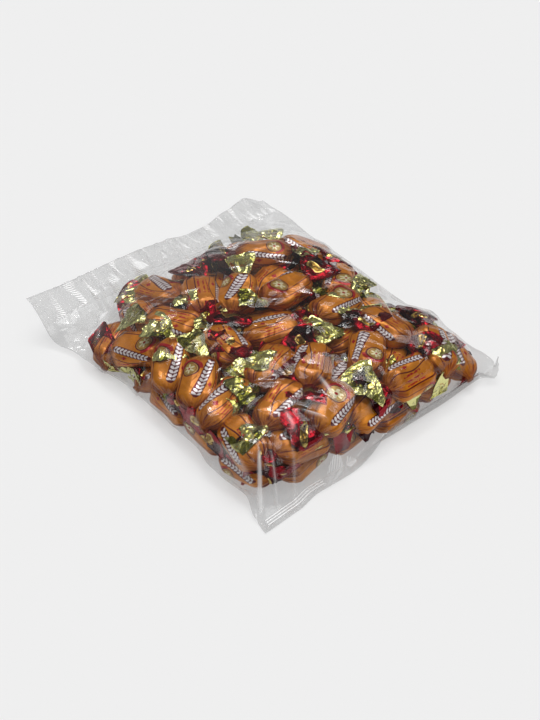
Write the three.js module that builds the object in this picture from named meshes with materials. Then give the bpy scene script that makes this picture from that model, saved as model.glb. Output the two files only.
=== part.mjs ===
// A clear sealed bag of twist-wrapped sweets, lying on its back.
//
// Millimetres, +Z up. X runs along the two heat seals, Y from the near seal to the far one, and the
// origin is under the middle of the bag, on the surface it lies on.
// The bag is one closed solid: its film is drawn tight over the sweets that show, goes round a fold
// at each side, and lies flat underneath. Past the sweets the two films lie together as end flaps.

import * as THREE from 'three';
import { mergeVertices } from 'three/addons/utils/BufferGeometryUtils.js';

// ---- driving dimensions ----------------------------------------------------------------------

const FILLED_WIDTH = 211;       // fold to fold, where the sweets draw the sides in
const BAG_LENGTH = 269;         // seal edge to seal edge
const FILM_GAP = 1.2;           // the two films of an end flap, with the air between them
const HEAP_HEIGHT = 47;         // top of the sweets over the middle of the bag
const NEAR_LIMIT = -122;        // where the sweets end towards the near seal
const UNDERCUT = 8;             // how far in from there, and from the folds, the bag touches down
const SWEET = { length: 42, width: 26, thickness: 16.5 };   // one wrapped sweet without its twists

const COLUMNS = 38;             // film panels across the bag
const ROWS = 47;                // film panels along the bag
const TIGHTENING_PASSES = 500;  // rounds of drawing the film tight

// ---- the sweets ------------------------------------------------------------------------------

// The sweets that show, as they lie: middle X, middle Y, and the way they point in degrees.
const SWEETS = [
  // left side, from the near end to the far one
  [-97, -96, 120], [-91, -88, 85], [-98, -62, 80], [-74, -68, 15], [-75, -31, 57], [-87, -2, 55],
  [-89, 45, -52],
  // left half of the middle
  [-55, -110, -3], [-55, -87, 27], [-28, -101, 20], [-36, -50, 24], [-54, -38, 70], [-41, -12, 80],
  [-57, 32, -55], [-41, 35, 60], [-42, 71, 100],
  // right half of the middle
  [1, -116, 10], [35, -113, 0], [39, -106, 30], [-14, -70, 45], [-2, -77, 60], [27, -84, 45],
  [-15, -20, -8], [37, -52, 10], [1, -3, -20], [28, 11, 7], [-26, 38, 60], [-6, 33, 40],
  [30, 33, 20], [0, 61, 60], [7, 90, 20], [22, 87, 30], [51, 65, -32],
  // right side
  [88, -107, 70], [64, -99, 62], [59, -70, 100], [65, -42, 70], [48, -23, 12], [72, 0, 48],
  [69, 45, -60], [80, 72, -75],
];

/** Smooth step from 0 at a to 1 at b. */
function ease(value, a, b) {
  return THREE.MathUtils.smoothstep((value - a) / (b - a), 0, 1);
}

/** Height of a line of [place, height] points at a place, eased from each point to the next. */
function along(points, place) {
  let last = points[0];
  for (const point of points) {
    if (place < point[0]) {
      return last[1] + (point[1] - last[1]) * ease(place, last[0], point[0]);
    }
    last = point;
  }
  return last[1];
}

/** Far limit of the sweets: they stop short of the far seal, most of all on the left. */
function farLimit(x) {
  return 61 + 36 * ease(x, -105, -30);
}

/** Top of the heap of sweets: a pillow, blunt at the near end and lower towards the far one. */
function heapTop(x, y) {
  const side = Math.sqrt(Math.max(1 - Math.abs(x / 108) ** 3.2, 0.02));
  const nearDepth = THREE.MathUtils.clamp((y + 126) / 45, 0, 1);
  const near = Math.sqrt(Math.max(1 - (1 - nearDepth) ** 2.2, 0.02));
  const farDepth = THREE.MathUtils.clamp((farLimit(x) - y) / 60, 0, 1);
  const far = 0.45 + 0.55 * Math.sqrt(1 - (1 - farDepth) ** 2);
  return HEAP_HEIGHT * side * near * far;
}

/** Top of one sweet, a flattened barrel with rounded ends, lying along the slope of the heap. */
function sweetTop([middleX, middleY, heading], x, y) {
  const angle = THREE.MathUtils.degToRad(heading);
  const alongIt = (x - middleX) * Math.cos(angle) + (y - middleY) * Math.sin(angle);
  const acrossIt = (y - middleY) * Math.cos(angle) - (x - middleX) * Math.sin(angle);
  const spread = Math.abs(alongIt / (SWEET.length / 2)) ** 2.6 + Math.abs(acrossIt / (SWEET.width / 2)) ** 2.4;
  if (spread >= 1) return 0;
  const crown = SWEET.thickness / 2 * Math.sqrt(1 - spread);
  return heapTop(x, y) - SWEET.thickness / 2 + crown;
}

// ---- the film's edges ------------------------------------------------------------------------

// Height of each edge of the bag above the surface, as [place along the edge, height].
const FAR_EDGE = [[-112, 29], [-79, 27], [-20, 27], [13, 24], [34, 20], [51, 20], [72, 25], [91, 29], [112, 19]];
const LEFT_EDGE = [[-134, 0.6], [-118, 3], [-100, 9], [-60, 12], [40, 12], [65, 10], [88, 4], [100, 4], [133, 29]];
const RIGHT_EDGE = [[-121, 16], [-100, 16], [-70, 15], [-30, 17], [25, 21], [85, 22], [134, 19]];

// Distance of each side fold from the middle of the bag: drawn in by the sweets, wider on the flaps.
const LEFT_FOLD = [[-134, 104], [-60, 106], [50, 105], [80, 102], [112, 111], [133, 112]];
const RIGHT_FOLD = [[-134, 112], [-116, 110], [-100, 105], [60, 105], [120, 111], [134, 112]];

// How far the near seal lies in from the bag's end, as [place along it, distance]; its right half is
// bent up on edge against the sweets.
const NEAR_EDGE_INSET = [[-104, 0], [-60, 6.5], [-30, 7], [14, 13], [112, 14]];
const TURNED_UP_HEIGHT = 9;

/** How much of the near seal is bent up: none at the left, all of it from the middle on. */
function turnUp(x) {
  return ease(x, -35, 10);
}

/** Where a film panel's corner lies, from its share of the width and of the length (-1 to 1). */
function plan(u, v) {
  const flatY = v * BAG_LENGTH / 2;
  const x = u * along(u < 0 ? LEFT_FOLD : RIGHT_FOLD, flatY);
  return [x, flatY + along(NEAR_EDGE_INSET, x) * ease(v, -0.86, -1)];
}

/** Height of the bag's edge at a place on it. */
function edgeHeight(u, v, x, y) {
  if (v === 1) return along(FAR_EDGE, x);
  if (v === -1) return FILM_GAP / 2 + (TURNED_UP_HEIGHT + 6 * ease(u, 0.8, 1)) * turnUp(x);
  return along(u < 0 ? LEFT_EDGE : RIGHT_EDGE, y);
}

/** How well filled the bag is at a place: 1 where it lies flat on sweets, 0 at folds and on flaps. */
function filling(x, y) {
  const side = 1 - ease(Math.abs(x), FILLED_WIDTH / 2 - UNDERCUT, FILLED_WIDTH / 2);
  const near = ease(y, NEAR_LIMIT, NEAR_LIMIT + UNDERCUT);
  const far = 1 - ease(y, farLimit(x) - 4, farLimit(x) - 4 + 2 * UNDERCUT);
  return side * near * far;
}

// ---- drawing the film tight ------------------------------------------------------------------

/** Grid of film corners, each with its place, the height it may not go below, and its height. */
function filmGrid() {
  const grid = [];
  for (let row = 0; row <= ROWS; row++) {
    for (let column = 0; column <= COLUMNS; column++) {
      const [u, v] = [column / COLUMNS * 2 - 1, row / ROWS * 2 - 1];
      const [x, y] = plan(u, v);
      const isEdge = Math.abs(u) === 1 || Math.abs(v) === 1;
      const support = Math.max(FILM_GAP, ...SWEETS.map((sweet) => sweetTop(sweet, x, y)));
      const top = isEdge ? edgeHeight(u, v, x, y) + FILM_GAP / 2 : support;
      grid.push({ x, y, isEdge, support, top });
    }
  }
  return grid;
}

/** Upper film: each corner takes its neighbours' mean height, or what it lies on if that is higher. */
function tighten(grid) {
  const across = COLUMNS + 1;
  for (let pass = 0; pass < TIGHTENING_PASSES; pass++) {
    for (let i = 0; i < grid.length; i++) {
      const here = grid[i];
      if (here.isEdge) continue;
      const around = grid[i - 1].top + grid[i + 1].top + grid[i - across].top + grid[i + across].top;
      here.top = Math.max(here.support, around / 4);
    }
  }
}

/** Closed solid between the upper film and the lower one, which lies flat under the sweets. */
function bagGeometry() {
  const grid = filmGrid();
  tighten(grid);

  const across = COLUMNS + 1;
  const corners = grid.length;
  const positions = [];
  for (const { x, y, top } of grid) positions.push(x, y, top);
  for (const { x, y, top } of grid) {
    const drop = (1 - filling(x, y)) ** 2;
    positions.push(x, y, (top - FILM_GAP) * drop);
  }

  const indices = [];
  const quad = (a, b, c, d) => indices.push(a, b, c, a, c, d);
  for (let row = 0; row < ROWS; row++) {
    for (let column = 0; column < COLUMNS; column++) {
      const a = row * across + column;
      quad(a, a + 1, a + across + 1, a + across);
      quad(corners + a, corners + a + across, corners + a + across + 1, corners + a + 1);
    }
  }
  const lastRow = ROWS * across;
  for (let column = 0; column < COLUMNS; column++) {
    quad(corners + column, corners + column + 1, column + 1, column);
    quad(lastRow + column, lastRow + column + 1, corners + lastRow + column + 1, corners + lastRow + column);
  }
  for (let row = 0; row < ROWS; row++) {
    const left = row * across;
    const right = left + COLUMNS;
    quad(left, left + across, corners + left + across, corners + left);
    quad(corners + right, corners + right + across, right + across, right);
  }

  const geometry = new THREE.BufferGeometry();
  geometry.setAttribute('position', new THREE.Float32BufferAttribute(positions, 3));
  geometry.setIndex(indices);
  const merged = mergeVertices(geometry);
  merged.computeVertexNormals();
  return merged;
}

// ---- the object ------------------------------------------------------------------------------

const filledFilm = new THREE.MeshStandardMaterial({ color: 0xc8823c, roughness: 0.25, metalness: 0 });

const bag = new THREE.Mesh(bagGeometry(), filledFilm);
bag.name = 'filled_bag';

const model = new THREE.Group();
model.add(bag);

export default model;
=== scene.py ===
"""A clear sealed bag of twist-wrapped sweets, lying on its back on a pale table.

The sweets are settled into a heap, their twists are bent over their neighbours, and the film is
drawn over the heap. Lengths are in millimetres until a mesh is made from them.
"""

import bpy
import numpy as np
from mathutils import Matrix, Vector


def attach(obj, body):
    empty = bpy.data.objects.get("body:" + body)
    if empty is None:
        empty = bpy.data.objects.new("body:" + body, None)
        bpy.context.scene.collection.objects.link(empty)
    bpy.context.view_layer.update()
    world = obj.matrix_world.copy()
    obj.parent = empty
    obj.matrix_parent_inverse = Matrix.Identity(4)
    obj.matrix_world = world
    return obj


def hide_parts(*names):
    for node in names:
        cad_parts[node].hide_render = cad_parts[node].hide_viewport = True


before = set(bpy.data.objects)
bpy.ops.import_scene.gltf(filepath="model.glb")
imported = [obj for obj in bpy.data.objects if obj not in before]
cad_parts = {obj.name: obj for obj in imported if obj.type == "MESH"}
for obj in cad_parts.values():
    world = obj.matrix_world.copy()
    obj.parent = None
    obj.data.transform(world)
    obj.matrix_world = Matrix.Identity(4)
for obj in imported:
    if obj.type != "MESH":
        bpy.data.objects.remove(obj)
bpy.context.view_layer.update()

# ==========================================================================================
# The heap. Twist-wrapped sweets were poured into a film pouch, which was then sealed, laid down
# and patted flat: two to three layers of sweets, most with a broad side up.
# ==========================================================================================

SWEET = np.array([42.0, 26.0, 16.5])   # length without the twists, width, thickness
HEAP_HEIGHT = 47.0
RIGHT_LIMIT = 102.5                    # how far out the sweets reach at the right

# How far out the sweets reach at the left, as (Y, distance from the middle).
LEFT_LIMIT = [(-92, 97), (-35, 95), (15, 95), (40, 91), (58, 100), (84, 101)]

# What each column of a row of sweets holds, in millimetres and degrees: the sweet's middle, the
# heading of its gold end, how far it is sunk under its neighbours, how far its white band lies
# left of its middle, and how far its gold and its red twist are bent to the left.
MIDDLE_X, MIDDLE_Y, HEADING, SUNK, BAND, GOLD_BEND, RED_BEND = range(7)

# The sweets that show.
SHOWN = np.array([
    # left side, from the near end to the far one
    (-90, -94, 120, 10, 9, 0, 0), (-88, -86, 85, 2, 8, -60, 15), (-94, -62, 80, 4, 0, 20, 0),
    (-74, -68, 15, 0, 5, 70, 10), (-75, -31, 57, 0, -4, 38, -5), (-87, -2, 55, 0, -4, 60, 40),
    (-85, 41, -52, 0, -8, -60, 0),
    # left half of the middle
    (-55, -110, -3, 0, 1, -30, -20), (-55, -87, 207, 0, 6, -40, 60), (-28, -101, 20, 0, -8, -50, -40),
    (-36, -50, 204, 0, 11, -30, -60), (-54, -38, 80, 5, 8, 60, 0), (-41, -12, 260, 3, 9, 40, 0),
    (-57, 32, 125, 0, 10, 0, 0), (-38, 38, 200, 6, 9, 0, 0), (-42, 71, 280, 1, 2, -20, 50),
    (-62, 62, 70, 5, 7, 0, 0),
    # right half of the middle
    (1, -116, 10, 0, -9, 0, 0), (35, -113, 0, 0, 9, -20, 0), (39, -106, 30, 4, 9, 0, 30),
    (-14, -70, 45, 0, 8, -20, 0), (-2, -77, 30, 4, 2, 20, 0), (27, -84, 225, 0, -4, 0, 0),
    (-15, -20, -8, 0, 7, -75, 30), (37, -52, 10, 3, 8, 30, 0), (1, -3, 160, 2, 9, -60, 0),
    (28, 11, 187, 0, -9, -40, 10), (-26, 38, 240, 0, 12, 0, 40), (-6, 33, 40, 0, 1, 20, 0),
    (30, 33, 200, 3, 6, 0, 20), (0, 61, 240, 2, 9, -30, 30), (13, 86, 24, 0, 9, 0, 55),
    (40, 84, 30, 8, 2, 0, -75), (56, 60, -32, 0, -11, -60, 0),
    # right side
    (90, -116, 70, 6, 2, 0, 0), (64, -103, 242, 0, 3, 0, 0), (59, -70, 100, 1, 10, 60, 0),
    (65, -42, 70, 4, 9, 0, 0), (48, -23, 12, 0, -9, 0, 0), (72, 0, 228, 0, -6, -50, 0),
    (76, 50, 110, 0, 9, -30, -20), (97, 43, 260, 2, 8, 0, 0),
    # the bottom row along the near seal, and the near left corner
    (-58, -107, 12, 30, 8, 20, 0), (-18, -114, 186, 30, -3, 0, -20), (24, -111, 8, 30, 7, 0, 20),
    (66, -113, 184, 27, 4, 20, 0), (-70, -76, 75, 16, -4, 0, 30), (-86, -60, 100, 10, 6, 0, 0),
], float)


def ease(value, start, end):
    """Smooth step: nought at start, one at end, 3 t squared less 2 t cubed between them."""
    t = np.clip((value - start) / (end - start), 0, 1)
    return t * t * (3 - 2 * t)


def along_points(points, place):
    """Height of a line of (place, height) points, eased from each point to the next."""
    result = np.full(np.shape(place), float(points[0][1]))
    for (a, low), (b, high) in zip(points[:-1], points[1:]):
        result += (high - low) * ease(place, a, b)
    return result


def far_limit(x):
    """Where the sweets stop short of the far seal: 61 mm at the left, easing out to 97 mm."""
    return 61 + 36 * ease(x, -105, -30)


def near_limit(x):
    """Where they stop at the near end: 119 mm out, less at the left, whose corner is rounded."""
    return -119 + 7 * (1 - ease(x, -80, 0)) + 20 * ease(-x, 79, 98)


def far_floor(x, y):
    """How high the bag's underside curls up towards the far seal: to 20 mm, by an eased square."""
    return 20 * ease(y, far_limit(x) - 6, far_limit(x) + 14) ** 2


def heap_top(x, y):
    """Top of the heap: its height times a rounded fall on each side.

    To the sides it falls as a flat-topped oval 216 mm wide, to the near end over 45 mm, and to
    the far one over 60 mm, where 45 % of the height is left.
    """
    side = np.sqrt(np.maximum(1 - np.abs(x / 108) ** 3.2, 0.02))
    near = np.sqrt(np.maximum(1 - (1 - np.clip((y + 126) / 45, 0, 1)) ** 2.2, 0.02))
    far = 0.45 + 0.55 * np.sqrt(1 - (1 - np.clip((far_limit(x) - y) / 60, 0, 1)) ** 2)
    return HEAP_HEIGHT * side * near * far


heap_noise = np.random.default_rng(11)


def hidden_layer(height, pitch_x, pitch_y, jitter):
    """Rows of sweets under the ones that show, with their middles at one height.

    They start on a grid, shaken by the jitter, with headings, bands and bends at random.
    """
    grid_x, grid_y = np.meshgrid(np.arange(-84, 90, pitch_x), np.arange(-64, 96, pitch_y))
    x = grid_x.ravel() + heap_noise.uniform(-jitter, jitter, grid_x.size)
    y = grid_y.ravel() + heap_noise.uniform(-jitter, jitter, grid_y.size)
    inside = y < far_limit(x) - 6
    x, y = x[inside], y[inside]
    rows = np.zeros((x.size, 7))
    rows[:, MIDDLE_X], rows[:, MIDDLE_Y] = x, y
    rows[:, HEADING] = heap_noise.uniform(0, 360, x.size)
    rows[:, SUNK] = heap_top(x, y) - SWEET[2] / 2 - height
    rows[:, BAND] = heap_noise.uniform(-16, 16, x.size)
    rows[:, GOLD_BEND:] = heap_noise.uniform(-50, 50, (x.size, 2))
    return rows


def unit(vectors):
    """Vectors divided by their lengths."""
    return vectors / np.linalg.norm(vectors, axis=-1, keepdims=True)


SLOPE_REACH = 12.0        # how far to each side of a sweet's middle the heap's slope is measured


def lying_on_slope(x, y, heading):
    """Axes of sweets lying along half the heap's slope: along, across and up, as columns.

    The slope is the heap top's rise over the reach to both sides, and up is at right angles to it.
    """
    slope_x = (heap_top(x + SLOPE_REACH, y) - heap_top(x - SLOPE_REACH, y)) / (4 * SLOPE_REACH)
    slope_y = (heap_top(x, y + SLOPE_REACH) - heap_top(x, y - SLOPE_REACH)) / (4 * SLOPE_REACH)
    up = unit(np.stack([-slope_x, -slope_y, np.ones(x.size)], 1))
    flat = np.stack([np.cos(heading), np.sin(heading), np.zeros(x.size)], 1)
    across = unit(np.cross(up, flat))
    return np.stack([np.cross(across, up), across, up], 2)


# While the heap settles, a sweet is ten balls in two lines along it.
BALL_ALONG, BALL_ACROSS = (-14.5, -7.5, 0, 7.5, 14.5), 4.7
BALLS = np.array([(x, y, 0) for y in (-BALL_ACROSS, BALL_ACROSS) for x in BALL_ALONG])
BALL_RADIUS = np.tile([6.6, 8.0, 8.3, 8.0, 6.6], 2)

SETTLING_ROUNDS = 320
TOUCHING = 46.0           # sweets whose middles are further apart than this can't touch
LOWEST_MIDDLE = 9.0       # of a sweet at the start
PUSH = 0.55               # share of an overlap that a round takes away
SQUEEZE = 0.45            # share of what stands over the heap's top that it takes away
RETURN = 0.12             # share of its shift that a shown sweet takes back in the first rounds
LIFT, SINK = 0.25, -0.15  # how far a shown sweet rises in a round, and a hidden one sinks
SHOWN_GIVE = 0.25         # how readily a shown sweet gives way, against a hidden one
SHOWN_STIFFNESS, HIDDEN_STIFFNESS = 240.0, 40.0     # with which a sweet keeps its first turn


def push_balls_apart(place, middle, first, second, share):
    """Moves balls out of the balls of other sweets, each by its sweet's share of the overlap."""
    near = np.linalg.norm(middle[first] - middle[second], axis=1) < TOUCHING
    a, b, part = first[near], second[near], share[near][:, None, None, None]
    gap = place[a][:, :, None] - place[b][:, None]
    distance = np.linalg.norm(gap, axis=-1, keepdims=True) + 1e-6
    deep = np.maximum(BALL_RADIUS[:, None, None] + BALL_RADIUS[None, :, None] - distance, 0)
    push = gap / distance * deep * PUSH
    np.add.at(place, a, (push * part).sum(2))
    np.add.at(place, b, -(push * (1 - part)).sum(1))


def push_balls_in(place):
    """Moves balls in from the bag's sides and ends, off the table and down under the heap's top.

    At the far end a ball's middle may pass the limit by 4 mm. A ball stays 0.8 mm off the table,
    and is pressed to 0.3 mm under the heap's top.
    """
    left = BALL_RADIUS - along_points(LEFT_LIMIT, place[..., 1])
    place[..., 0] = np.clip(place[..., 0], left, RIGHT_LIMIT - BALL_RADIUS)
    near_end, far_end = near_limit(place[..., 0]) + BALL_RADIUS, far_limit(place[..., 0]) + 4
    place[..., 1] = np.clip(place[..., 1], near_end, far_end)
    floor = BALL_RADIUS + 0.8 + far_floor(place[..., 0], place[..., 1])
    place[..., 2] = np.maximum(place[..., 2], floor)
    over = place[..., 2] + BALL_RADIUS + 0.3 - heap_top(place[..., 0], place[..., 1])
    place[..., 2] -= SQUEEZE * np.maximum(over, 0)


def settle(rows, shown):
    """Pushes overlapping sweets apart and keeps each one rigid: gives their middles and axes.

    After each round of pushes a sweet takes the turn and shift that fit its moved balls best, by
    the singular vectors of their spread. Shown sweets are held near their places at first, and
    the hold fades to nothing over the middle half of the rounds.
    """
    x, y = rows[:, MIDDLE_X], rows[:, MIDDLE_Y]
    start_height = np.maximum(heap_top(x, y) - SWEET[2] / 2 - rows[:, SUNK], LOWEST_MIDDLE)
    wanted = np.stack([x, y, start_height], 1)
    middle = wanted.copy()
    axes = lying_on_slope(x, y, np.radians(rows[:, HEADING]))
    stiff = np.where(shown, SHOWN_STIFFNESS, HIDDEN_STIFFNESS)[:, None, None] * axes
    rise = np.where(shown, np.where(rows[:, SUNK] > 0, 0.0, LIFT), SINK)
    give = np.where(shown, SHOWN_GIVE, 1.0)
    first, second = np.triu_indices(len(rows), 1)
    share = give[first] / (give[first] + give[second])
    for turn in range(SETTLING_ROUNDS):
        hold = np.clip(1.5 - 2 * turn / SETTLING_ROUNDS, 0, 1)
        place = middle[:, None] + np.einsum("nij,kj->nki", axes, BALLS)
        push_balls_apart(place, middle, first, second, share)
        push_balls_in(place)
        middle = place.mean(1)
        spread = np.einsum("nki,kj->nij", place - middle[:, None], BALLS - BALLS.mean(0))
        u, _, v = np.linalg.svd(spread + stiff * max(hold, 0.2))
        u[:, :, 2] *= np.linalg.det(u @ v)[:, None]
        axes = u @ v
        middle[shown, :2] += RETURN * hold * (wanted - middle)[shown, :2]
        middle[:, 2] += rise * hold
    return middle, axes


rows = np.vstack([SHOWN, hidden_layer(9, 35, 42, 4), hidden_layer(22, 56, 56, 7)])
is_shown = np.arange(len(rows)) < len(SHOWN)
middles, axes = settle(rows, is_shown)

# ==========================================================================================
# The wrapped bodies. A sweet rolled in printed metallised film: smooth over the middle, gathered
# into pleats towards the neck at each end, where the wrapper was twisted shut.
# ==========================================================================================

METRES = 0.001            # a millimetre, in metres
CENTIMETRES = 0.1         # and in centimetres, which the print is laid out in
NECK_RADIUS = 2.7
NECK_END = 23.5           # from the sweet's middle to the end of its neck
GIRTH = 66.0              # round the middle: two repeats of the print


def put_mesh(name, corners, faces, smooth=True):
    """Makes a mesh object from corners in millimetres and faces."""
    mesh = bpy.data.meshes.new(name)
    mesh.from_pydata((corners * METRES).reshape(-1, 3), [], faces)
    mesh.polygons.foreach_set("use_smooth", np.full(len(mesh.polygons), smooth))
    mesh.update()
    piece = bpy.data.objects.new(name, mesh)
    bpy.context.scene.collection.objects.link(piece)
    return piece


def tube_faces(rings, around, copies):
    """Faces of closed tubes: quads between rings, and a fan to a pole at each end.

    A copy's corners are its rings in turn, then its first and its last pole.
    """
    step = np.arange(around)
    after = (step + 1) % around
    ring = np.arange(rings - 1)[:, None] * around
    quads = np.stack([ring + step, ring + around + step, ring + around + after, ring + after], -1)
    first_pole, last_pole = np.full(around, rings * around), np.full(around, rings * around + 1)
    last = (rings - 1) * around
    start = np.stack([first_pole, step, after], 1)
    end = np.stack([last_pole, last + after, last + step], 1)
    shift = np.arange(copies)[:, None, None] * (rings * around + 2)
    return [*(quads.reshape(-1, 4) + shift).reshape(-1, 4).tolist(),
            *(start + shift).reshape(-1, 3).tolist(),
            *(end + shift).reshape(-1, 3).tolist()]


def signed_power(value, power):
    """A power that keeps the value's sign."""
    return np.sign(value) * np.abs(value) ** power


def draws(noise, count, low, high):
    """One random number for each sweet, to go with arrays of (sweet, ring, step round it)."""
    return noise.uniform(low, high, (count, 1, 1))


def body_corners(count, rings, around, noise):
    """Corners of wrapped bodies about their own middle, and their grid along and round the sweet.

    The width and thickness follow a superellipse along the sweet and another one round it. Near
    the necks the radius takes pleats, a row of rounded ridges that deepens towards the neck. Over
    the middle it swells in low waves, and 5 to 8 panels round it are drawn in a little.
    """
    along = NECK_END * signed_power(np.linspace(-1, 1, rings), 0.86)
    fullness = 1 - (1 - np.clip((SWEET[0] / 2 + 1 - np.abs(along)) / 11, 0, 1)) ** 2.2
    turn = np.arange(around) / around * 2 * np.pi
    gathered = ease(np.abs(along), 10, 21)[None, :, None]
    pleats = draws(noise, count, 7, 11).round()
    phase = draws(noise, count, 0, 6.3)
    ridge = np.abs(np.sin(pleats / 2 * turn + phase + 0.6 * np.sin(along / 9)[None, :, None])) - 0.6
    swell = 0
    for waves in (2, 3, 5):
        size, phase = draws(noise, count, 0.15, 0.5), draws(noise, count, 0, 6.3)
        slant = along[None, :, None] / draws(noise, count, 5, 12)
        swell = swell + size * np.sin(waves * turn + phase + slant)
    panels = draws(noise, count, 5, 8).round()
    taut = np.abs(np.sin(panels / 2 * turn + draws(noise, count, 0, 6.3))) - 0.64

    full = fullness[None, :, None]
    scale = full * (1 + 0.26 * gathered * ridge - 0.07 * taut)
    c, s = np.cos(turn), np.sin(turn)
    across = SWEET[1] / 2 * signed_power(c, 0.82)
    height = SWEET[2] / 2 * signed_power(s, 0.72)
    shape = np.zeros((count, rings, around, 3))
    shape[..., 0] = along[None, :, None]
    shape[..., 1] = across * scale + NECK_RADIUS * c * (1 - full) + swell * full ** 2 * c
    shape[..., 2] = height * scale + NECK_RADIUS * s * (1 - full) + swell * full ** 2 * s
    poles = np.zeros((count, 2, 3))
    poles[:, 0, 0], poles[:, 1, 0] = -NECK_END, NECK_END
    return np.concatenate([shape.reshape(count, -1, 3), poles], 1), along, turn


def write_uv(piece, name, places):
    """Gives each corner of each face the map place of its vertex."""
    vertex = np.zeros(len(piece.data.loops), int)
    piece.data.loops.foreach_get("vertex_index", vertex)
    layer = piece.data.uv_layers.new(name=name)
    layer.data.foreach_set("uv", places[vertex].ravel())
    return layer


def print_map(piece, count, along, turn, shift):
    """Print coordinates: centimetres along the sweet, and centimetres round it from its top."""
    round_it = ((turn / (2 * np.pi) - 0.25 + 0.5) % 1 - 0.5) * GIRTH
    u = np.concatenate([np.repeat(along, len(turn)), [-NECK_END, NECK_END]])
    v = np.concatenate([np.tile(round_it, len(along)), [0, 0]])
    both = np.stack([np.tile(u, (count, 1)), v[None] + shift[:, None]], -1) * CENTIMETRES
    layer = write_uv(piece, "print", both.reshape(-1, 2))
    # a face that crosses the line where the count round the sweet starts again is unwrapped
    place = np.zeros(len(piece.data.loops) * 2)
    layer.data.foreach_get("uv", place)
    place = place.reshape(-1, 2)
    start = np.zeros(len(piece.data.polygons), int)
    size = np.zeros(len(piece.data.polygons), int)
    piece.data.polygons.foreach_get("loop_start", start)
    piece.data.polygons.foreach_get("loop_total", size)
    first = np.repeat(place[start, 1], size)
    once_round = GIRTH * CENTIMETRES
    place[:, 1] -= once_round * np.round((place[:, 1] - first) / once_round)
    layer.data.foreach_set("uv", place.ravel())


def place_sweets(name, chosen, rings, around, seed):
    """One mesh of the chosen sweets' bodies, each set in its own place in the heap."""
    count = int(chosen.sum())
    local, along, turn = body_corners(count, rings, around, np.random.default_rng(seed))
    world = middles[chosen][:, None] + np.einsum("nij,nkj->nki", axes[chosen], local)
    piece = put_mesh(name, world, tube_faces(rings, around, count))
    print_map(piece, count, along, turn, rows[chosen, BAND])
    return piece, world.reshape(-1, 3)


shown_bodies, shown_corners = place_sweets("sweets_on_top", is_shown, rings=40, around=48, seed=3)
hidden_bodies, hidden_corners = place_sweets("sweets_below", ~is_shown, rings=30, around=24, seed=4)


def linear(colour):
    """Turns an sRGB hex colour into linear red, green, blue and alpha."""
    part = np.array([int(colour[i:i + 2], 16) for i in (0, 2, 4)]) / 255
    return (*np.where(part <= 0.04045, part / 12.92, ((part + 0.055) / 1.055) ** 2.4), 1.0)


def new_material(name):
    """A material with nodes, emptied down to its output, and its node tree."""
    material = bpy.data.materials.new(name)
    material.use_nodes = True
    for node in list(material.node_tree.nodes):
        if node.type != "OUTPUT_MATERIAL":
            material.node_tree.nodes.remove(node)
    return material, material.node_tree


def add_node(tree, kind, *values, output=0, **settings):
    """Adds a node and gives one of its outputs. A kind can end in its operation: "Math ADD".

    Values go into the node's inputs in turn. Capitalised settings are inputs by name and _6 is
    input 6, and the other settings are the node's own fields. A socket is linked to its input,
    and any other value is set on it.
    """
    kind, _, operation = kind.partition(" ")
    node = tree.nodes.new("ShaderNode" + kind)
    if operation:
        node.operation = operation
    inputs = dict(enumerate(values))
    for name, value in settings.items():
        if name[0] == "_":
            inputs[int(name[1:])] = value
        elif name[0].isupper():
            inputs[name.replace("_", " ")] = value
        else:
            setattr(node, name, value)
    for key, value in inputs.items():
        if isinstance(value, bpy.types.NodeSocket):
            tree.links.new(value, node.inputs[key])
        else:
            node.inputs[key].default_value = value
    return node.outputs[output]


def finish_material(tree, shader):
    """Links a shader to the material's output."""
    output = next(node for node in tree.nodes if node.type == "OUTPUT_MATERIAL")
    tree.links.new(shader, output.inputs["Surface"])


def rotated(tree, x, y, degrees):
    """Coordinates turned by an angle: x cos + y sin, and y cos - x sin."""
    c, s = np.cos(np.radians(degrees)), np.sin(np.radians(degrees))
    return (add_node(tree, "Math MULTIPLY_ADD", x, c, add_node(tree, "Math MULTIPLY", y, s)),
            add_node(tree, "Math MULTIPLY_ADD", y, c, add_node(tree, "Math MULTIPLY", x, -s)))


def oval(tree, along, across, power=2.0):
    """Distance from an oval's middle, one on its edge: the root of the summed powers.

    Each axis is a coordinate, the middle's place on it, and half the oval's size along it.
    """
    powers = []
    for value, middle, half in (along, across):
        off = add_node(tree, "Math SUBTRACT", value, middle)
        share = add_node(tree, "Math ABSOLUTE", add_node(tree, "Math DIVIDE", off, half))
        powers.append(add_node(tree, "Math POWER", share, power))
    return add_node(tree, "Math POWER", add_node(tree, "Math ADD", *powers), 1 / power)


def within(tree, value, low, high):
    """One where a value lies between two limits, nought elsewhere."""
    return add_node(tree, "Math COMPARE", value, (low + high) / 2, (high - low) / 2)


def all_of(tree, mask, *more_masks):
    """One where every mask is one: their product."""
    for other in more_masks:
        mask = add_node(tree, "Math MULTIPLY", mask, other)
    return mask


def print_over(tree, colour, inks):
    """Lays (mask, ink) pairs over a colour in turn, each ink where its mask is one."""
    for mask, ink in inks:
        colour = add_node(tree, "Mix", mask, data_type="RGBA", _6=colour, _7=linear(ink), output=2)
    return colour


# The wrapper's film: oriented polypropylene, metallised inside and printed amber outside, so the
# ink keeps a little of the metal's gloss. The print is a generic one, repeated every 33 mm round
# the sweet: a garland of slanting white leaves edged in maroon, an oval flower, thin lines. Its
# sizes are in centimetres.
AMBER, DEEP_AMBER, MAROON, WHITE_LEAF = "DC8818", "8C3C04", "5E0F14", "EAE2E2"
DULL_GOLD, CREAM, BLOOD_RED = "B09048", "E6DDB4", "A81A1A"
HALF_REPEAT = 1.65

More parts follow.
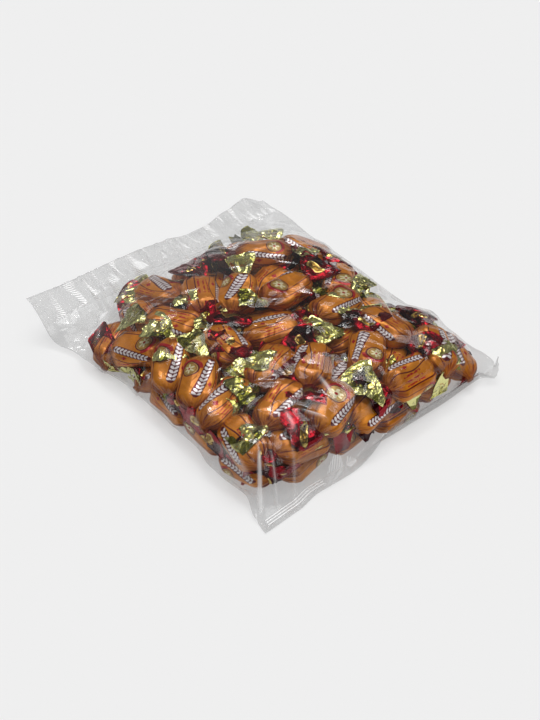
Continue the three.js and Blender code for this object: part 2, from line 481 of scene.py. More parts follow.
amber_wrap, tree = new_material("printed_amber_wrapper")
coords = add_node(tree, "UVMap", uv_map="print")
u = add_node(tree, "SeparateXYZ", coords)
round_sweet = add_node(tree, "SeparateXYZ", coords, output=1)
v = add_node(tree, "Math WRAP", round_sweet, HALF_REPEAT, -HALF_REPEAT)

# tone: deep amber in blotches of 11 mm and towards the panel's edges; painted shade: deep amber
# streaks that run to the pleats, 10 mm long and 1.4 mm wide, darkening the gathers by the necks
stretched = add_node(tree, "Mapping", Vector=coords, Scale=(0.45, 3.2, 1.0))
streak = add_node(tree, "TexNoise", Vector=stretched, Scale=2.2, Detail=4.0, Roughness=0.6)
patch = add_node(tree, "TexNoise", Vector=coords, Scale=0.9, Detail=3.0, Roughness=0.5)
to_neck = add_node(tree, "MapRange", add_node(tree, "Math ABSOLUTE", u), 1.25, 1.95)
to_edge = add_node(tree, "MapRange", add_node(tree, "Math ABSOLUTE", v), 1.0, 1.6, 0.0, 0.45)
# painted shade in the streaks by the necks, added to the random blotches and the panel edges' tone
tone_and_painted_neck_shade = add_node(tree, "Math MULTIPLY_ADD", streak, 2.6, -0.7)
tone_and_painted_neck_shade = add_node(tree, "Math MULTIPLY", tone_and_painted_neck_shade, to_neck)
tone_and_painted_neck_shade = add_node(tree, "Math ADD", tone_and_painted_neck_shade, to_edge)
tone_and_painted_neck_shade = add_node(tree, "Math ADD", tone_and_painted_neck_shade, add_node(tree, "Math MULTIPLY_ADD", patch, 1.4, -0.55))

# thin lines along the panel, a bowed one among them, rows of short dashes and a small red spot
wave = add_node(tree, "Math COSINE", add_node(tree, "Math MULTIPLY", u, 1.5))
bow = add_node(tree, "Math MULTIPLY_ADD", wave, 0.13, 0.62)
off_bow = add_node(tree, "Math SUBTRACT", v, bow)
bowed_line = all_of(tree, within(tree, off_bow, -0.03, 0.03), within(tree, u, -1.9, 1.9))
low_line, high_line = within(tree, v, -1.4, -1.33), within(tree, v, 1.37, 1.44)
straight_lines = add_node(tree, "Math MAXIMUM", low_line, high_line)
dash_places = add_node(tree, "Mapping", Vector=coords, Scale=(4.0, 7.0, 1.0))
dash_noise = add_node(tree, "TexNoise", Vector=dash_places, Scale=1.0, Detail=1.0)
dashes = all_of(tree, within(tree, add_node(tree, "Math WRAP", v, 0.105, -0.105), -0.04, 0.04),
                add_node(tree, "Math GREATER_THAN", dash_noise, 0.43),
                within(tree, v, 0.8, 1.3), within(tree, u, -1.1, 0.6))
spot = oval(tree, (u, -0.55, 0.26), (v, 0.42, 0.17), 0.8)
# painted shade: maroon streaks in the pleats by the necks, where the gathers lie in shadow
painted_pleat_shade = all_of(tree, add_node(tree, "Math GREATER_THAN", streak, 0.58), to_neck)

# an oval flower, 12 by 10 mm, of six petals round a red eye, in gold and maroon rings, with a red
# ribbon past its right half
FLOWER_X, FLOWER_Y = 0.7, -0.84
flower = oval(tree, (u, FLOWER_X, 0.62), (v, FLOWER_Y, 0.52))
flower_x = add_node(tree, "Math SUBTRACT", u, FLOWER_X)
flower_y = add_node(tree, "Math SUBTRACT", v, FLOWER_Y)
sixfold = add_node(tree, "Math MULTIPLY", add_node(tree, "Math ARCTAN2", flower_y, flower_x), 6.0)
petal_edge = add_node(tree, "Math MULTIPLY_ADD", add_node(tree, "Math COSINE", sixfold), 0.19, 0.44)
petals = add_node(tree, "Math LESS_THAN", flower, petal_edge)
right_half = add_node(tree, "Math GREATER_THAN", flower_x, 0.05)
ribbon = all_of(tree, within(tree, flower, 1.0, 1.32), right_half)

# the garland: pairs of leaves on a stem, 3 mm apart, pointing one way like an ear of wheat
row_x, row_y = rotated(tree, u, v, 11)
off_stem = add_node(tree, "Math ABSOLUTE", row_y)
lean = add_node(tree, "Math MULTIPLY_ADD", off_stem, -0.7, row_x)
leaf_x = add_node(tree, "Math WRAP", lean, 0.145, -0.145)
leaf = oval(tree, (leaf_x, 0, 0.108), (off_stem, 0.115, 0.113), 2.2)
leaf = add_node(tree, "Math LESS_THAN", leaf, 1.0)
to_tip = add_node(tree, "Math ABSOLUTE", add_node(tree, "Math DIVIDE", row_x, 1.6))
taper = add_node(tree, "Math SUBTRACT", 1.0, add_node(tree, "Math POWER", to_tip, 6.0))
taper = add_node(tree, "Math SQRT", add_node(tree, "Math MAXIMUM", taper, 0.0))
band_edge = add_node(tree, "Math MULTIPLY", taper, 0.285)
band = add_node(tree, "Math LESS_THAN", off_stem, band_edge)

colour = print_over(tree, linear(AMBER), (
    (add_node(tree, "Clamp", Value=tone_and_painted_neck_shade), DEEP_AMBER),
    (painted_pleat_shade, MAROON), (bowed_line, MAROON), (dashes, BLOOD_RED), (straight_lines, MAROON),
    (add_node(tree, "Math LESS_THAN", spot, 1.0), BLOOD_RED),
    (ribbon, BLOOD_RED), (within(tree, flower, 0.0, 1.0), MAROON),
    (within(tree, flower, 0.0, 0.86), DULL_GOLD), (within(tree, flower, 0.7, 0.76), DEEP_AMBER),
    (petals, CREAM), (within(tree, flower, 0.0, 0.15), BLOOD_RED),
    (all_of(tree, band, within(tree, row_x, -1.6, 1.6)), MAROON),
    (all_of(tree, leaf, within(tree, row_x, -1.42, 1.36)), WHITE_LEAF),
))

# relief: the gathers that run to the necks, and flat facets of about 11 mm where the film is taut
gathers = add_node(tree, "Math MULTIPLY", streak, to_neck)
wrinkle = add_node(tree, "Bump", Height=gathers, Strength=0.8, Distance=0.0016)
place = add_node(tree, "TexCoord", output="Object")
cells = add_node(tree, "TexVoronoi", distance="CHEBYCHEV", Vector=place, Scale=95.0)
facet = add_node(tree, "Bump", Height=cells, Strength=0.8, Distance=0.0015, Normal=wrinkle)
finish_material(tree, add_node(
    tree, "BsdfPrincipled", Base_Color=colour, Metallic=0.28, Roughness=0.3, IOR=1.45, Normal=facet))

for piece in (shown_bodies, hidden_bodies):
    piece.data.materials.append(amber_wrap)
    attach(piece, "root")
    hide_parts("filled_bag")

# ==========================================================================================
# The twists. Past each neck the same wrapper spreads into a crumpled fan of bare metallised
# film, green-gold at one end of the sweet and red at the other, bent over whatever it meets.
# ==========================================================================================

TWIST_LENGTH = 22.0
TWIST_HALF_WIDTH = {1: 12.0, -1: 17.5}     # of the gold end, and of the red one
TWIST_ROOT = 2.9                           # half width and half thickness where it leaves the neck
TWIST_RINGS, TWIST_AROUND = 13, 26


def triangle_wave(value):
    """Sharp folds: rises and falls in straight lines between minus one and one, period one."""
    return 4 * np.abs(value - np.floor(value + 0.5)) - 1


def twist_corners(end, bend, noise):
    """Corners of one end's twists, in place in the heap.

    Each is a flattened tube carried along a bending line. Its half width grows from the neck out,
    its thickness shrinks to a closed edge, and folds that fan out from the neck, with smaller
    crumples crossing them, lift both layers together.
    """
    count = len(middles)
    axis = axes[:, :, 0] * end
    up = np.array([0, 0, 1.0])
    left = unit(np.cross(up, axis))
    t = np.linspace(0, 1, TWIST_RINGS)
    length = TWIST_LENGTH * noise.uniform(0.85, 1.15, count)
    width = TWIST_HALF_WIDTH[end] * noise.uniform(0.75, 1.15, count)
    lift = np.radians(noise.uniform(15, 50, count))

    # the line that a twist is carried along, and the two directions across it
    angle = bend[:, None] * ease(t, 0.0, 0.45)[None]
    flat = np.cos(angle)[..., None] * axis[:, None] + np.sin(angle)[..., None] * left[:, None]
    rise = (lift[:, None] * np.sin(np.pi * t)[None])[..., None] * up
    heading = unit(flat + rise)
    step = heading * (length[:, None] / (TWIST_RINGS - 1))[..., None]
    root = middles + axis * (SWEET[0] / 2 - 0.5)
    spine = root[:, None] + np.cumsum(step, 1) - step[:, :1]
    roll = draws(noise, count, -0.6, 0.6)
    level = unit(np.cross(up, heading))
    upright = np.cross(heading, level)
    side = level * np.cos(roll) + upright * np.sin(roll)
    normal = upright * np.cos(roll) - level * np.sin(roll)

    # the tube's section: its half width, and its half thickness with the folds and crumples
    turn = np.arange(TWIST_AROUND) / TWIST_AROUND * 2 * np.pi
    spread = TWIST_ROOT + (width[:, None] - TWIST_ROOT) * ease(t, -0.25, 0.9)[None] ** 1.1
    depth = TWIST_ROOT * (1 - ease(t, 0.0, 0.5)) + 1.1 * (1 - t ** 3) * ease(t, 0.0, 0.4) + 0.12
    across = spread[..., None] * signed_power(np.cos(turn), 0.8)
    out = t[None, :, None] * length[:, None, None]
    from_middle = np.cos(turn)[None, None]
    folds = draws(noise, count, 1.6, 2.8)
    fan = triangle_wave(folds * from_middle * 0.5 + draws(noise, count, 0, 1))
    crumple = 0
    for _ in range(4):
        way, strength = draws(noise, count, 0, np.pi), draws(noise, count, 0.4, 1.0)
        over_width = across / draws(noise, count, 8, 18) * np.cos(way)
        over_length = out / draws(noise, count, 8, 18) * np.sin(way)
        phase = draws(noise, count, 0, 1)
        crumple = crumple + strength * triangle_wave(over_width + over_length + phase)
    opened = ease(t, 0.05, 0.7)[None, :, None]
    height = depth[None, :, None] * np.sin(turn)[None, None] + opened * (1.9 * fan + 1.3 * crumple)
    ragged = 1 + 0.1 * triangle_wave(1.3 * from_middle + draws(noise, count, 0, 1)) * t[None, :, None]
    forward = (ragged - 1) * length[:, None, None]

    place = (spine[:, :, None] + side[:, :, None] * across[..., None]
             + normal[:, :, None] * height[..., None] + heading[:, :, None] * forward[..., None])
    poles = np.stack([spine[:, 0] - heading[:, 0], place[:, -1].mean(1)], 1)
    return np.concatenate([place.reshape(count, -1, 3), poles], 1)


def held_in(value, low, high):
    """Draws what passes a limit back to it: an excess d becomes 3 d / (d + 9) mm."""
    under, over = np.maximum(low - value, 0), np.maximum(value - high, 0)
    return np.clip(value, low, high) - 3 * under / (under + 9) + 3 * over / (over + 9)


BODY_POWER = 2.5          # of the superellipsoid that stands for a body


def push_out(corners):
    """Moves twist corners out of the bodies of other sweets and into the bag.

    A corner inside a body is scaled out to its surface, by up to four times. One over the heap's
    top comes most of the way down to it.
    """
    flat = corners.reshape(-1, 3)
    belongs = np.repeat(np.arange(len(corners)), corners.shape[1])
    half = SWEET / 2 + 0.5
    for i in range(len(middles)):
        close = np.flatnonzero((np.abs(flat - middles[i]).max(1) < 24) & (belongs != i))
        local = (flat[close] - middles[i]) @ axes[i]
        level = (np.abs(local / half) ** BODY_POWER).sum(1) + 1e-9
        inside = level < 1
        grow = level[inside] ** (-1 / BODY_POWER)
        local[inside, 1:] *= np.minimum(grow, 4)[:, None]
        flat[close[inside]] = local[inside] @ axes[i].T + middles[i]
    over = np.maximum(flat[:, 2] - heap_top(flat[:, 0], flat[:, 1]) - 0.5, 0)
    flat[:, 2] -= 0.8 * over
    flat[:, 0] = held_in(flat[:, 0], 2 - along_points(LEFT_LIMIT, flat[:, 1]), RIGHT_LIMIT - 2)
    flat[:, 1] = held_in(flat[:, 1], near_limit(flat[:, 0]) + 2, far_limit(flat[:, 0]) + 12)
    flat[:, 2] = held_in(flat[:, 2], 4 + far_floor(flat[:, 0], flat[:, 1]), HEAP_HEIGHT + 1)
    return flat.reshape(corners.shape)


gold_bend, red_bend = np.radians(rows[:, GOLD_BEND]), np.radians(rows[:, RED_BEND])
gold_corners = push_out(twist_corners(1, gold_bend, np.random.default_rng(21)))
red_corners = push_out(twist_corners(-1, red_bend, np.random.default_rng(22)))
twist_faces = tube_faces(TWIST_RINGS, TWIST_AROUND, len(rows))
gold_twists = put_mesh("gold_twists", gold_corners, twist_faces, smooth=False)
red_twists = put_mesh("red_twists", red_corners, twist_faces, smooth=False)


def twist_map(piece):
    """Print coordinates of a twist: across it from its middle, and centimetres out from the neck."""
    turn = np.arange(TWIST_AROUND) / TWIST_AROUND * 2 * np.pi
    across = np.cos(turn)[None] * np.linspace(0.25, 1.25, TWIST_RINGS)[:, None]
    tip = TWIST_LENGTH * CENTIMETRES
    out = np.repeat(np.linspace(0, tip, TWIST_RINGS), TWIST_AROUND)
    one = np.vstack([np.stack([across.ravel(), out], 1), [(0, 0), (0, tip)]])
    write_uv(piece, "print", np.tile(one, (len(rows), 1)))


def foil(name, bright, deep_tone, shade, badge):
    """Crumpled metallised film: a bare metal finish in uneven lacquer, with a plain oval badge.

    The lacquer clouds over every 11 mm, and the film is crumpled into facets of 9 mm, with finer
    ones of 3 mm in places. A painted shade darkens cells of 13 mm, standing for folds that lie over
    one another and shadow each other. The badge is 6 mm high and over half as wide as the twist, in
    three tones from its rim inwards.
    """
    material, tree = new_material(name)
    place = add_node(tree, "TexCoord", output="Object")
    cloud = add_node(tree, "TexNoise", Vector=place, Scale=90.0, Detail=3.0)
    cells = add_node(tree, "TexVoronoi", Vector=place, Scale=75.0, output="Color")
    # painted shade: about a fifth of the cells, where folds would shadow one another
    painted_fold_shade_mask = add_node(tree, "MapRange", add_node(tree, "SeparateXYZ", cells), 0.76, 0.8)
    spot = add_node(tree, "Mapping", Vector=add_node(tree, "UVMap", uv_map="print"),
                    Location=(0, -3.9, 0), Scale=(2.2, 3.1, 1.0))
    from_spot = add_node(tree, "VectorMath LENGTH", spot, output="Value")
    colour = print_over(tree, linear(bright), [
        (cloud, deep_tone), (painted_fold_shade_mask, shade),
        *((add_node(tree, "Math LESS_THAN", from_spot, edge), tone)
          for edge, tone in zip((1.0, 0.86, 0.6), badge))])

    large = add_node(tree, "TexVoronoi", distance="CHEBYCHEV", Vector=place, Scale=110.0)
    small = add_node(tree, "TexVoronoi", distance="MANHATTAN", Vector=place, Scale=330.0)
    crumpled = add_node(tree, "MapRange", cloud, 0.46, 0.6)
    small = add_node(tree, "Math MULTIPLY", small, crumpled)
    folded = add_node(tree, "Bump", Height=large, Strength=0.6, Distance=0.002)
    crinkle = add_node(tree, "Bump", Height=small, Strength=0.6, Distance=0.0008, Normal=folded)
    finish_material(tree, add_node(
        tree, "BsdfPrincipled", Base_Color=colour, Metallic=0.92, Roughness=0.17, Normal=crinkle))
    return material


# each foil's third colour is a painted shade, laid in cells where folds would shadow one another
gold_foil = foil("green_gold_foil", "EDEAAE", "C6C268", "6E6C24", ("C4A060", "D8D490", "C0B864"))
red_foil = foil("red_foil", "A00E20", "620810", "32040A", ("4A0610", "C8B068", "8E6C2C"))

for piece, slot, finish in (
    (gold_twists, "gold_twist", gold_foil),
    (red_twists, "red_twist", red_foil),
):
    twist_map(piece)
    piece.data.materials.append(finish)
    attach(piece, "root")
    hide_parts("filled_bag")

# ==========================================================================================
# The film. A tube of clear cast polypropylene, sealed across both ends by crimping jaws and cut
# with a pinking blade: drawn taut over the sweets and under them, with an empty flap at each end.
# ==========================================================================================

BAG_LENGTH = 269.0
FILM_WIDTH = 218.0             # fold to fold, between the widest and the narrowest place
EMPTY_WIDTH = 224.0            # of the bag when it was flat
FILM_GAP = 0.8                 # the two films of a flap, with the air between them
FAR_SEAL = 21.0                # how far each seal reaches in from the cut edge
NEAR_SEAL = 9.4
PINKING = 0.9                  # depth of the cut edge's teeth

# Height of each edge of the bag above the table, and each side fold's distance from the middle,
# as (place along the edge, distance) from one end of the edge to the other.
FAR_EDGE = [(-112, 29), (-79, 27), (-20, 27), (13, 24), (34, 20), (51, 20), (72, 25), (91, 29), (112, 19)]
LEFT_EDGE = [(-134, 0.6), (-118, 3), (-100, 9), (-60, 12), (40, 12), (65, 10), (88, 4), (100, 4), (133, 29)]
RIGHT_EDGE = [(-124, 7), (-116, 12), (-100, 16), (-70, 15), (-30, 17), (25, 21), (85, 22), (134, 19)]
LEFT_FOLD = [(-134, 109), (-122, 107), (-104, 102.5), (-80, 105), (-70, 105.5), (-50, 101.5), (25, 101),
             (50, 104), (70, 106), (85, 104), (112, 111), (133, 112)]
RIGHT_FOLD = [(-134, 112), (-116, 110), (-100, 105), (60, 105), (120, 111), (134, 112)]

# The near seal, as (X, distance): how far its inner line is drawn in from where it lay when the bag
# was flat, how steeply the seal stands up from that line, in degrees, and the line's height.
NEAR_INSET = [(-107, 4), (-81, 5), (-62, 8), (-36, 7), (-6, 7), (20, 6), (60, 5.5), (95, 7), (112, 4)]
NEAR_TILT = [(-34, 2), (14, 80), (94, 80), (103, 15), (112, 85)]
NEAR_LIFT = [(96, 0.6), (110, 6.5)]

FILM_COLUMNS, FILM_ROWS = 236, 200
SEAL_ROWS = round(NEAR_SEAL / BAG_LENGTH * FILM_ROWS)
film_u, film_v = np.meshgrid(np.linspace(-1, 1, FILM_COLUMNS + 1), np.linspace(-1, 1, FILM_ROWS + 1))

# where the film's corners lie, seen from above
flat_y = film_v * BAG_LENGTH / 2
tooth = PINKING * (np.arange(FILM_COLUMNS + 1) % 2)
flat_y[0] += tooth
flat_y[-1] -= tooth
fold = np.where(film_u < 0, along_points(LEFT_FOLD, flat_y), along_points(RIGHT_FOLD, flat_y))
film_x = film_u * fold
hinge = flat_y[SEAL_ROWS, 0]
drawn_in = along_points(NEAR_INSET, film_x) * (1 - ease(flat_y, hinge, hinge + 30))
past_hinge = np.maximum(hinge - flat_y, 0)
tilt = np.radians(along_points(NEAR_TILT, film_x)) * ease(past_hinge, -0.5, 1.5)
film_y = np.maximum(flat_y, hinge) + drawn_in - past_hinge * np.cos(tilt)

# the near seal and the other three edges, whose height is given
given = np.zeros(film_u.shape, bool)
given[:SEAL_ROWS + 1] = given[-1] = given[:, [0, -1]] = True
edge = np.where(film_u < 0, along_points(LEFT_EDGE, film_y), along_points(RIGHT_EDGE, film_y))
edge[-1] = along_points(FAR_EDGE, film_x[-1])
seal = slice(0, SEAL_ROWS + 1)
edge[seal] = (along_points(NEAR_LIFT, film_x) + past_hinge * np.sin(tilt))[seal]

MAP_CELL = 1.6                 # side of a cell of the map of how high the contents reach
MAP_SHAPE = (150, 182)
MAP_ORIGIN = np.array([-120.0, -145.0])


def reach(corners, empty):
    """How high the contents reach at the film's corners, from a map of the highest corners.

    Each of the map's cells keeps its highest corner, then takes its neighbours' where that is
    higher. Between the cells' middles the height is shared out by nearness.
    """
    cell = ((corners[:, :2] - MAP_ORIGIN) / MAP_CELL).astype(int)
    top = np.full(MAP_SHAPE, float(empty))
    np.maximum.at(top, (cell[:, 0], cell[:, 1]), corners[:, 2])
    top = np.max([np.roll(top, (dx, dy), (0, 1)) for dx in (-1, 0, 1) for dy in (-1, 0, 1)], axis=0)
    x = (film_x - MAP_ORIGIN[0]) / MAP_CELL - 0.5
    y = (film_y - MAP_ORIGIN[1]) / MAP_CELL - 0.5
    i, j = x.astype(int), y.astype(int)
    x, y = x - i, y - j
    return ((top[i, j] * (1 - x) + top[i + 1, j] * x) * (1 - y)
            + (top[i, j + 1] * (1 - x) + top[i + 1, j + 1] * x) * y)


def drawn_taut(start, support, sag, rounds):
    """Film resting on its supports, drawn taut in rounds.

    In a round each corner inside the border goes seven tenths of the way to its neighbours' mean
    height, weighted by how near they are, less the sag, but not below its support.
    """
    closeness = (FILM_ROWS / BAG_LENGTH) ** 2, (FILM_COLUMNS / FILM_WIDTH) ** 2
    share = 0.5 * np.array(closeness) / sum(closeness)
    height = start.copy()
    for _ in range(rounds):
        mean = (share[0] * (height[:-2, 1:-1] + height[2:, 1:-1])
                + share[1] * (height[1:-1, :-2] + height[1:-1, 2:]))
        mean = 0.3 * height[1:-1, 1:-1] + 0.7 * mean
        height[1:-1, 1:-1] = np.maximum(support[1:-1, 1:-1], mean - sag)
    return height


# the upper film, drawn taut over the contents and then smoothed where they leave their edges in it
contents = np.vstack([shown_corners, hidden_corners,
                      gold_corners.reshape(-1, 3), red_corners.reshape(-1, 3)])
support = np.maximum(reach(contents, 0) + 0.9, 1.2)
upper = np.where(given, edge + FILM_GAP / 2, support)
taut = drawn_taut(upper[SEAL_ROWS:], support[SEAL_ROWS:], sag=0.004, rounds=3000)
upper[SEAL_ROWS:] = drawn_taut(taut, np.zeros_like(taut), sag=0, rounds=12)

# under the sweets the same film is drawn taut upside down, and pressed flat by the table
hang = -reach(contents * (1, 1, -1), -60) - 0.4
ceiling = np.clip(np.minimum(hang, upper - FILM_GAP), 0, None)
lower = np.where(given, edge - FILM_GAP / 2, ceiling)
lower[SEAL_ROWS:] = -drawn_taut(-lower[SEAL_ROWS:], -ceiling[SEAL_ROWS:], sag=0, rounds=1200)
lower = np.clip(lower, 0.2, None)


def ridges(lines):
    """Creases: along each line the film stands up by a rounded ridge that fades to both ends.

    A line is its two ends' X and Y, then the ridge's height and half its width.
    """
    rise = np.zeros(film_x.shape)
    for x0, y0, x1, y1, height, width in lines:
        length = np.hypot(x1 - x0, y1 - y0)
        dx, dy = (x1 - x0) / length, (y1 - y0) / length
        part = ((film_x - x0) * dx + (film_y - y0) * dy) / length
        off = (film_y - y0) * dx - (film_x - x0) * dy
        rise += height * np.exp(-(off / width) ** 2) * np.clip(4 * part * (1 - part), 0, 1)
    return rise


# creases: small ones anywhere, ones that run to the far seal, and chosen ones at the near left
# corner, over the side folds and between the sweets
SMALL_CREASES, FLAP_CREASES = 170, 46
CHOSEN_CREASES = [
    (-106, -122, -84, -94, 2.2, 1.6), (-96, -131, -78, -96, 1.3, 1.4), (-84, -133, -66, -104, 1.2, 1.8),
    (-99, -120, -99, -60, 1.3, 1.8), (-58, -131, -20, -112, 1.2, 2.0), (-104, 60, -60, 108, 1.2, 2.4),
    (-98, 84, -20, 100, 1.1, 2.0), (-60, 96, 40, 108, 1.0, 2.0), (86, 120, 108, 60, 1.2, 2.2),
    (100, -100, 101, -10, 1.0, 2.0), (-20, -74, -31, -113, 1.5, 2.4), (-53, -92, -39, -113, 1.4, 1.7),
    (-58, -86, -64, -109, 1.4, 2.6), (-19, -82, -10, -106, 1.3, 1.5), (-6, 92, 62, 58, 1.4, 2.6),
]
crease_noise = np.random.default_rng(31)
x, y, turn, run, height, width = (crease_noise.uniform(low, high, SMALL_CREASES) for low, high in (
    (-98, 98), (-118, 108), (0, np.pi), (12, 42), (0.2, 0.8), (0.9, 2.0)))
small = np.column_stack([x, y, x + np.cos(turn) * run, y + np.sin(turn) * run, height, width])
x, y, shift, far_y, height, width = (crease_noise.uniform(low, high, FLAP_CREASES) for low, high in (
    (-104, 104), (96, 116), (-9, 9), (130, 142), (0.3, 1.0), (1.0, 2.6)))
flap = np.column_stack([x, y, x + shift, far_y, height, width])
crease = ridges([*small, *flap, *CHOSEN_CREASES]) * ease(1 - np.abs(film_u), 0.0, 0.05)
crease *= ease(flat_y, hinge, hinge + 4)
upper += crease
lower = np.where(lower > 2.5, np.minimum(lower + crease * ease(lower, 2.5, 8), upper - 0.3), lower)

# one closed skin: the upper film, the lower one and a rim; a seal on edge has them side by side
apart = FILM_GAP / 2 * np.sin(tilt) * (past_hinge > 0)
film_corners = np.concatenate([np.stack([film_x, film_y + side * apart, z], -1).reshape(-1, 3)
                               for side, z in ((1, upper), (-1, lower))])
sheet = film_u.size
index = np.arange(sheet).reshape(film_u.shape)
quads = np.stack([index[:-1, :-1], index[:-1, 1:], index[1:, 1:], index[1:, :-1]], -1).reshape(-1, 4)
loop = np.concatenate([index[0, :-1], index[:-1, -1], index[-1, :0:-1], index[:0:-1, 0]])
after = np.roll(loop, -1)
rim = np.stack([loop + sheet, after + sheet, after, loop], 1)
film_faces = np.concatenate([quads, quads[:, ::-1] + sheet, rim])
film = put_mesh("clear_film", film_corners, film_faces.tolist())
# white along the chosen creases, part stress whitening and part painted highlight, and a painted highlight
# along each side fold
crease_whitening_and_painted_glint = np.minimum(ridges(CHOSEN_CREASES) / 1.6, 1) ** 3 + 0.2 * (np.abs(film_u) > 0.993)
whitened_and_glinting = film.data.attributes.new("whitened_and_glinting", "FLOAT", "POINT")
whitened_and_glinting.data.foreach_set("value", np.tile(crease_whitening_and_painted_glint.ravel(), 2))
flat_place = np.stack([film_u * EMPTY_WIDTH / 2, flat_y], -1).reshape(-1, 2) * CENTIMETRES
write_uv(film, "flat_film", np.tile(flat_place, (2, 1)))

# Cast polypropylene is clear and glossy, and goes white where it is crimped or where it creases.
# Along the chosen creases that white is partly a painted highlight, and the thin white line
# along each side fold is a painted highlight. Sizes on the film are in centimetres from its
# middle, as it lay flat. The crimp's diamond mesh is drawn coarser than the real one, so that it
# shows.
MESH_PITCH = 0.21

clear_film, tree = new_material("clear_polypropylene_film")
coords = add_node(tree, "UVMap", uv_map="flat_film")
s, t = add_node(tree, "SeparateXYZ", coords), add_node(tree, "SeparateXYZ", coords, output=1)
far_line = (BAG_LENGTH / 2 - FAR_SEAL) * CENTIMETRES
far_band = add_node(tree, "Math GREATER_THAN", t, far_line)
near_band = add_node(tree, "Math LESS_THAN", t, (NEAR_SEAL - BAG_LENGTH / 2) * CENTIMETRES)
crimped = add_node(tree, "Math MAXIMUM", far_band, near_band)
slant = add_node(tree, "Math MULTIPLY", add_node(tree, "Math ADD", s, t), 2 * np.pi / MESH_PITCH)
other_slant = add_node(tree, "Math SUBTRACT", s, t)
other_slant = add_node(tree, "Math MULTIPLY", other_slant, 2 * np.pi / MESH_PITCH)
mesh_wave = add_node(tree, "Math SINE", slant)
diamond = add_node(tree, "Math MULTIPLY", mesh_wave, add_node(tree, "Math SINE", other_slant))

# the far seal's white streaks, about 9 mm apart, and a faint haze towards the far end: a painted
# veil of reflection where the film is seen at a glancing angle
stretched = add_node(tree, "Mapping", Vector=coords, Scale=(1.1, 0.16, 1.0))
pulled = add_node(tree, "TexNoise", Vector=stretched, Scale=1.0, Detail=3.0, Roughness=0.6)
streak = add_node(tree, "MapRange", pulled, 0.53, 0.6)
mesh_rows = add_node(tree, "Math GREATER_THAN", mesh_wave, -0.1)
white = add_node(tree, "Math MULTIPLY_ADD", mesh_rows, 0.75, 0.15)
white = add_node(tree, "Math ADD", add_node(tree, "Math MULTIPLY", streak, white), 0.02)
haze = add_node(tree, "Math MULTIPLY_ADD", far_band, white, 0.003)
# painted reflection: a milky veil towards the far end, where the film is seen at a glancing angle
far_slope_painted_veil = add_node(tree, "MapRange", t, 2.0, 9.0, _4=0.09)
haze = add_node(tree, "Math MULTIPLY_ADD", far_slope_painted_veil, pulled, haze)

# the near seal's three pressed ridges, and the patches beside them where the crimp is crushed
from_cut = add_node(tree, "Math ADD", t, BAG_LENGTH / 2 * CENTIMETRES)
off_ridge = add_node(tree, "Math WRAP", add_node(tree, "Math SUBTRACT", from_cut, 0.42), 0.1, -0.1)
pressed = add_node(tree, "Math LESS_THAN", add_node(tree, "Math ABSOLUTE", off_ridge), 0.036)
pressed = all_of(tree, pressed, within(tree, from_cut, 0.32, 0.88), within(tree, s, -10.7, -5.5))
long_patch = oval(tree, (s, -4.1, 0.75), (from_cut, 0.92, 0.12))
square_patch = oval(tree, (s, -2.8, 0.42), (from_cut, 0.72, 0.25), 3.0)
in_patch = add_node(tree, "Math MINIMUM", long_patch, square_patch)
in_patch = add_node(tree, "Math MULTIPLY", in_patch, pulled)
tooth_rows = add_node(tree, "Math ADD", s, add_node(tree, "Math MULTIPLY", t, 0.5))
tooth_rows = add_node(tree, "Math SINE", add_node(tree, "Math MULTIPLY", tooth_rows, 42.0))
crushed = all_of(tree, add_node(tree, "Math LESS_THAN", in_patch, 0.5),
                 add_node(tree, "Math GREATER_THAN", tooth_rows, -0.2))
marks = add_node(tree, "Math MAXIMUM", pressed, crushed)
haze = add_node(tree, "Math MULTIPLY_ADD", marks, 0.85, haze)
# painted highlight along the side folds and, in part, along the chosen creases
crease_white_and_painted_glint = add_node(tree, "Attribute", attribute_name="whitened_and_glinting", output="Fac")
haze = add_node(tree, "Math MULTIPLY_ADD", crease_white_and_painted_glint, 0.5, haze, use_clamp=True)

# relief: warped panes of flat film, 25 and 33 mm across, and the crimp's mesh
place = add_node(tree, "TexCoord", output="Object")
bent = add_node(tree, "TexNoise", Vector=place, Scale=22.0, Detail=1.0, output="Color")
warped = add_node(tree, "VectorMath MULTIPLY_ADD", bent, (0.008, 0.008, 0.008), place)
turned = add_node(tree, "Mapping", Vector=warped, Rotation=(0.2, 0.1, 0.7))
panes = add_node(tree, "TexVoronoi", distance="CHEBYCHEV", Vector=turned, Scale=40.0)
crossing = add_node(tree, "TexVoronoi", distance="CHEBYCHEV", Vector=warped, Scale=30.0)
folds = add_node(tree, "Math ADD", panes, add_node(tree, "Math MULTIPLY", crossing, 1.2))
wrinkled = add_node(tree, "Bump", Height=folds, Strength=1.0, Distance=0.0036)
mesh_height = add_node(tree, "Math MULTIPLY", diamond, crimped)
surface = add_node(tree, "Bump", Height=mesh_height, Strength=0.8, Distance=0.0003, Normal=wrinkled)

# clear film mirrors most where it turns away from the eye
gloss = add_node(tree, "BsdfGlossy", Color=linear("FFFFFF"), Roughness=0.09, Normal=surface)
through = add_node(tree, "BsdfTransparent", Color=linear("F0F0F0"))
facing = add_node(tree, "LayerWeight", Blend=0.5, Normal=surface, output="Facing")
grazing = add_node(tree, "Math POWER", facing, 4.5)
mirrored = add_node(tree, "Math MULTIPLY_ADD", grazing, 0.6, 0.03, use_clamp=True)
clear = add_node(tree, "MixShader", mirrored, through, gloss)
milky = add_node(tree, "BsdfDiffuse", Color=linear("FFFFFF"))
finish_material(tree, add_node(tree, "MixShader", haze, clear, milky))

film.data.materials.append(clear_film)
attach(film, "root")
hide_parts("filled_bag")

# ==========================================================================================
# The table, the light and the camera: a pale sweep, broad soft lamps overhead and a long lens
# looking down at the bag across its near left corner.
# ==========================================================================================

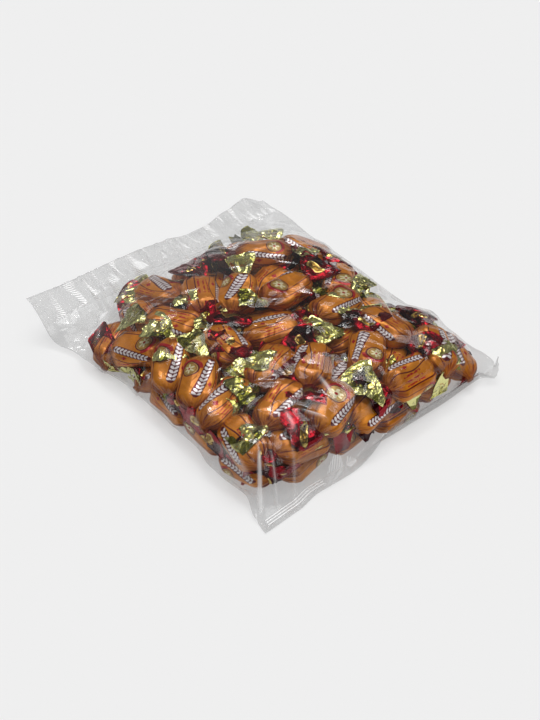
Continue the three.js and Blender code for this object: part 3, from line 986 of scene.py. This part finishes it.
TABLE_HALF = 4000.0
table_corners = np.array([(-1, -1, 0), (1, -1, 0), (1, 1, 0), (-1, 1, 0)], float) * TABLE_HALF
table = put_mesh("table", table_corners, [(0, 1, 2, 3)])

# Matt white card. The faint light of its own stands for what a white room throws back under the
# bag, which leaves its shadow as pale as it is in such a room.
card, tree = new_material("matt_white_card")
matt = add_node(tree, "BsdfDiffuse", Color=linear("ACACAC"))
glow = add_node(tree, "Emission", Color=linear("FFFFFF"), Strength=0.441)
finish_material(tree, add_node(tree, "AddShader", matt, glow))
table.data.materials.append(card)


def direction(azimuth, elevation):
    """The way to a place round the bag: azimuth from the near side to the right, then up."""
    a, e = np.radians(azimuth), np.radians(elevation)
    return Vector((np.sin(a) * np.cos(e), -np.cos(a) * np.cos(e), np.sin(e)))


def add_looking_down(name, data, azimuth, elevation):
    """Adds a lamp or a camera that looks back along a direction."""
    thing = bpy.data.objects.new(name, data)
    thing.rotation_mode = "QUATERNION"
    thing.rotation_quaternion = direction(azimuth, elevation).to_track_quat("Z", "Y")
    bpy.context.scene.collection.objects.link(thing)
    return thing


# Lamps: azimuth and elevation, strength in W/m2, and the angle that the lamp's face fills.
for name, azimuth, elevation, strength, spread in (
    ("soft_key", 115, 74, 1.65, 44),
    ("near_fill", -15, 48, 0.35, 30),
    ("small_sparkle", 150, 66, 0.3, 9),
):
    lamp = bpy.data.lights.new(name, "SUN")
    lamp.energy = strength
    lamp.angle = np.radians(spread)
    add_looking_down(name, lamp, azimuth, elevation)

# The room's light: dim round the sides, so that the foil has something dark to mirror.
world = bpy.data.worlds.new("studio")
world.use_nodes = True
bpy.context.scene.world = world
room = world.node_tree
height = add_node(room, "SeparateXYZ", add_node(room, "TexCoord", output="Generated"), output=2)
cubed = add_node(room, "Math POWER", height, 3.0, use_clamp=True)
brightness = add_node(room, "MapRange", cubed, _3=0.10, _4=0.72)
room.links.new(brightness, room.nodes["Background"].inputs["Strength"])
room.nodes["Background"].inputs["Color"].default_value = (1.0, 1.0, 1.0, 1.0)

CAMERA_AZIMUTH, CAMERA_ELEVATION = -40.5, 40.5
CAMERA_DISTANCE = 863.0
CAMERA_LENS = 60.0
AIM = Vector((0, -0.0065, 0))  # the place on the table in the middle of the picture, in metres
camera_data = bpy.data.cameras.new("camera")
camera_data.lens = CAMERA_LENS
camera = add_looking_down("camera", camera_data, CAMERA_AZIMUTH, CAMERA_ELEVATION)
camera.location = AIM + direction(CAMERA_AZIMUTH, CAMERA_ELEVATION) * (CAMERA_DISTANCE * METRES)
bpy.context.scene.camera = camera
bpy.context.scene.view_settings.view_transform = "Standard"

bpy.context.view_layer.update()
